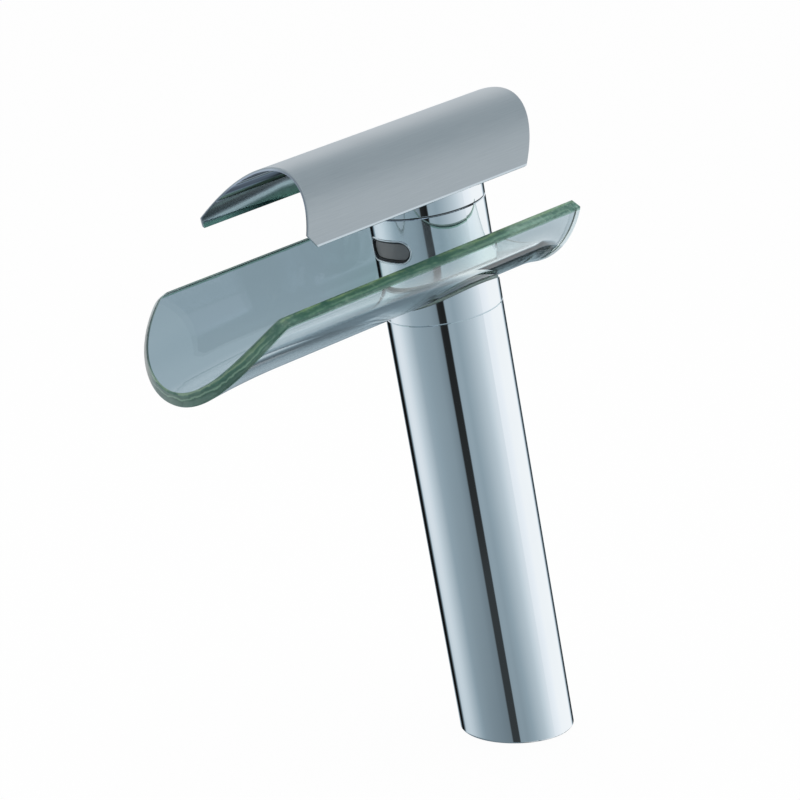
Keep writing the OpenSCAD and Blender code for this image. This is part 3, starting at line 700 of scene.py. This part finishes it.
camera_data = bpy.data.cameras.new("camera")
camera = bpy.data.objects.new("camera", camera_data)
scene.collection.objects.link(camera)
CAMERA_AT = Vector((0.8193, -0.7172, 0.3990))
AZIMUTH, ELEVATION, ROLL = (math.radians(a) for a in (51.269, 12.875, -2.189))
away = Vector((
    math.sin(AZIMUTH) * math.cos(ELEVATION),
    -math.cos(AZIMUTH) * math.cos(ELEVATION),
    math.sin(ELEVATION),
))
level = Vector((math.cos(AZIMUTH), math.sin(AZIMUTH), 0.0))
upward = away.cross(level)
rightward = level * math.cos(ROLL) + upward * math.sin(ROLL)
upward = upward * math.cos(ROLL) - level * math.sin(ROLL)
camera.matrix_world = Matrix((
    (rightward.x, upward.x, away.x, CAMERA_AT.x),
    (rightward.y, upward.y, away.y, CAMERA_AT.y),
    (rightward.z, upward.z, away.z, CAMERA_AT.z),
    (0, 0, 0, 1),
))
camera_data.sensor_width = 36
camera_data.lens = 116.0
camera_data.clip_start, camera_data.clip_end = 0.01, 50
scene.camera = camera


# Studio


WORLD_STRENGTH = 0.8
WHITE = (1.0, 1.0, 1.0, 1.0)


def studio_world():
    """Plain white light from all sides, at full white where it is seen."""
    world = bpy.data.worlds.new("studio")
    world.use_nodes = True
    scene.world = world
    g = Graph(world.node_tree)
    out = g.add("ShaderNodeOutputWorld")
    light = g.add("ShaderNodeBackground")
    light.inputs[0].default_value = WHITE
    light.inputs[1].default_value = WORLD_STRENGTH
    plain = g.add("ShaderNodeBackground")
    plain.inputs[0].default_value = WHITE
    path = g.add("ShaderNodeLightPath")
    seen = g.math("MAXIMUM", path.outputs["Is Camera Ray"],
                  g.math("MAXIMUM", path.outputs["Is Glossy Ray"], path.outputs["Is Transmission Ray"]))
    choose = g.add("ShaderNodeMixShader")
    g.put(choose.inputs[0], seen)
    g.put(choose.inputs[1], light.outputs[0])
    g.put(choose.inputs[2], plain.outputs[0])
    g.put(out.inputs["Surface"], choose.outputs[0])


# Brightness of the studio cards round the tap, from 0 to 255 as displayed, by degrees from the dark
# gap between the cards on the left and those on the right. The low row is what the column mirrors,
# the two rows under it what faces that look down mirror, the level and the high row what faces that
# look up mirror.
GAP_AZIMUTH = 52.1
LOW_CARDS = (
    (-180, 165), (-178, 152), (-168, 156), (-162, 110), (-158, 12), (-142, 8), (-137, 110), (-131, 214),
    (-120, 226), (-110, 224), (-100, 214), (-90, 198), (-80, 182), (-70, 164), (-50, 152), (-30, 144),
    (-18, 132), (-14.5, 124), (-13.5, 34), (-2, 16), (-0.5, 20), (1, 158), (8, 160), (16, 156), (30, 168),
    (50, 190), (66, 214), (82, 238), (100, 248), (136, 250), (142, 240), (148, 160), (152, 98),
    (157, 30), (166, 30), (171, 130), (174, 200), (178, 196), (180, 165),
)
STREAK_CARDS = (
    (-180, 182), (-168, 184), (-150, 120), (-110, 200), (-60, 150), (0, 120), (60, 180), (90, 225),
    (130, 240), (142, 230), (148, 100), (152, 16), (164, 20), (168, 88), (173, 96), (177, 165), (180, 182),
)
FLOOR_CARDS = (
    (-180, 75), (-168, 105), (-120, 125), (-90, 128), (-50, 125), (0, 120), (50, 110), (90, 225),
    (105, 250), (135, 250), (156, 244), (162, 200), (167, 90), (171, 60), (180, 75),
)
HIGH_CARDS = (
    (-180, 176), (-120, 190), (-60, 176), (0, 160), (60, 200), (90, 212), (137, 174), (180, 176),
)
LEVEL_CARDS = (
    (-180, 228), (-150, 226), (-120, 182), (-60, 158), (0, 150), (60, 198), (90, 212), (137, 217),
    (155, 230), (180, 228),
)


def card_material():
    """Soft light and dark cards as one surface. Mirrors and glass see it, the camera doesn't."""
    material = bpy.data.materials.new("studio_cards")
    material.use_nodes = True
    g = Graph(material.node_tree)
    out = g.add("ShaderNodeOutputMaterial")
    x, y, z = g.split(g.vmath("NORMALIZE", g.object_point()))
    azimuth = g.math("DEGREES", g.math("ARCTAN2", x, g.math("MULTIPLY", y, -1.0)))
    turn = g.math("WRAP", g.math("SUBTRACT", azimuth, GAP_AZIMUTH), 180.0, -180.0)
    height = g.math("DEGREES", g.math("ARCSINE", z))
    share = g.span(turn, -180, 180)
    off = g.math("ABSOLUTE", turn)
    # The dark gap is a little lighter towards the floor
    gap = g.math("MULTIPLY", g.math("LESS_THAN", off, 60.0), g.span(height, -13, -25, 0.07, 0.2))
    # The cards fade downwards, most on the left
    fade = g.math("MULTIPLY", g.span(height, -21, -31), g.span(turn, -30, 95, 0.11, 0.0))
    tone = g.math("MULTIPLY", g.split_ramp(share, LOW_CARDS), g.math("SUBTRACT", 1.0, fade))
    tone = g.math("MAXIMUM", tone, gap)
    # The backdrop is lighter low down
    far = g.math("MULTIPLY", g.math("GREATER_THAN", off, 166.0), g.span(height, -14, -19))
    tone = g.mix(far, tone, g.ramp(share, [(0.0, 0.64), (0.04, 0.64), (0.96, 0.6), (1.0, 0.64)]))
    # The low row reaches further down where the column's foot mirrors it
    deeper = g.math("ADD", height, g.span(off, 150, 160, 5.5, 0.0))
    tone = g.mix(g.span(deeper, -26, -30), tone, g.card_ramp(share, STREAK_CARDS))
    # The dark card of the streak reaches lowest beside the backdrop
    lifted = g.math("SUBTRACT", height, g.span(turn, 148, 159, 5.0, 0.0))
    tone = g.mix(g.span(lifted, -44, -47), tone, g.card_ramp(share, FLOOR_CARDS))
    tone = g.mix(g.span(height, -4, 4), tone, g.card_ramp(share, LEVEL_CARDS))
    tone = g.mix(g.span(height, 30, 40), tone, g.card_ramp(share, HIGH_CARDS))
    # Dark cards are neutral, middle ones blue-grey and bright ones white
    tint = g.ramp(tone, [
        (0.0, (0.0, 0.0, 0.0)), (0.18, (0.0255, 0.029, 0.0305)), (0.5, (0.17, 0.225, 0.262)),
        (0.62, (0.28, 0.365, 0.42)), (0.8, (0.57, 0.66, 0.72)), (0.95, (0.86, 0.91, 0.96)),
        (1.0, (0.98, 1.0, 1.0)),
    ])
    glow = g.add("ShaderNodeEmission")
    g.put(glow.inputs[0], tint)
    g.put(out.inputs["Surface"], glow.outputs[0])
    material.cycles.emission_sampling = "NONE"
    return material


CARDS_MID_H = 0.15


def card_piece():
    """A round of cards about the column, open at the top, where the white studio shows."""
    radius, around, steps = 1.6, 96, 36
    low, high = math.radians(-88), math.radians(76)
    verts, faces = [], []
    for j in range(steps + 1):
        up = low + (high - low) * j / steps
        for k in range(around):
            a = 2 * math.pi * k / around
            level = radius * math.cos(up)
            verts.append((level * math.sin(a), -level * math.cos(a), radius * math.sin(up)))
    for j in range(steps):
        for k in range(around):
            p, q = j * around + k, j * around + (k + 1) % around
            faces.append((p, q, q + around, p + around))
    mesh = bpy.data.meshes.new("studio_cards")
    mesh.from_pydata(verts, [], faces)
    cards = bpy.data.objects.new("studio_cards", mesh)
    scene.collection.objects.link(cards)
    cards.location = TO_WORLD @ Vector((0, 0, CARDS_MID_H))
    cards.rotation_euler.x = LEAN
    mesh.materials.append(card_material())
    cards.visible_camera = False
    cards.visible_diffuse = False
    cards.visible_shadow = False


FLOOR_HALF = 6.0
FLOOR_DROP = 0.0002
FLOOR_WHITE_SHARE = 0.96


def floor_piece():
    """A plain white floor that keeps a faint shadow of the tap."""
    corners = [(x * FLOOR_HALF, y * FLOOR_HALF, 0) for x, y in ((-1, -1), (1, -1), (1, 1), (-1, 1))]
    mesh = bpy.data.meshes.new("floor")
    mesh.from_pydata(corners, [], [(0, 1, 2, 3)])
    floor = bpy.data.objects.new("floor", mesh)
    scene.collection.objects.link(floor)
    floor.location.z = -FLOOR_DROP
    material = bpy.data.materials.new("pale_floor")
    material.use_nodes = True
    g = Graph(material.node_tree)
    out = g.add("ShaderNodeOutputMaterial")
    matt = g.add("ShaderNodeBsdfDiffuse")
    matt.inputs[0].default_value = (0.9, 0.9, 0.9, 1.0)
    glow = g.add("ShaderNodeEmission")
    glow.inputs[0].default_value = WHITE
    path = g.add("ShaderNodeLightPath")
    choose = g.add("ShaderNodeMixShader")
    g.put(choose.inputs[0], g.math("MULTIPLY", path.outputs["Is Camera Ray"], FLOOR_WHITE_SHARE))
    g.put(choose.inputs[1], matt.outputs[0])
    g.put(choose.inputs[2], glow.outputs[0])
    g.put(out.inputs["Surface"], choose.outputs[0])
    mesh.materials.append(material)
    floor.visible_glossy = False
    floor.visible_transmission = False


def softbox(name, at, towards, size, watts):
    """A soft lamp that mirrors and glass don't see."""
    light = bpy.data.lights.new(name, "AREA")
    light.shape, light.size, light.size_y, light.energy = "RECTANGLE", size[0], size[1], watts
    lamp = bpy.data.objects.new(name, light)
    scene.collection.objects.link(lamp)
    lamp.location = at
    lamp.rotation_mode = "QUATERNION"
    lamp.rotation_quaternion = (Vector(towards) - Vector(at)).to_track_quat("-Z", "Y")
    lamp.visible_glossy = False
    lamp.visible_transmission = False


studio_world()
card_piece()
floor_piece()
softbox("overhead", at=(0.1, -0.2, 1.6), towards=(0, -0.05, 0.15), size=(1.4, 1.4), watts=6.0)

scene.view_settings.view_transform = "Standard"
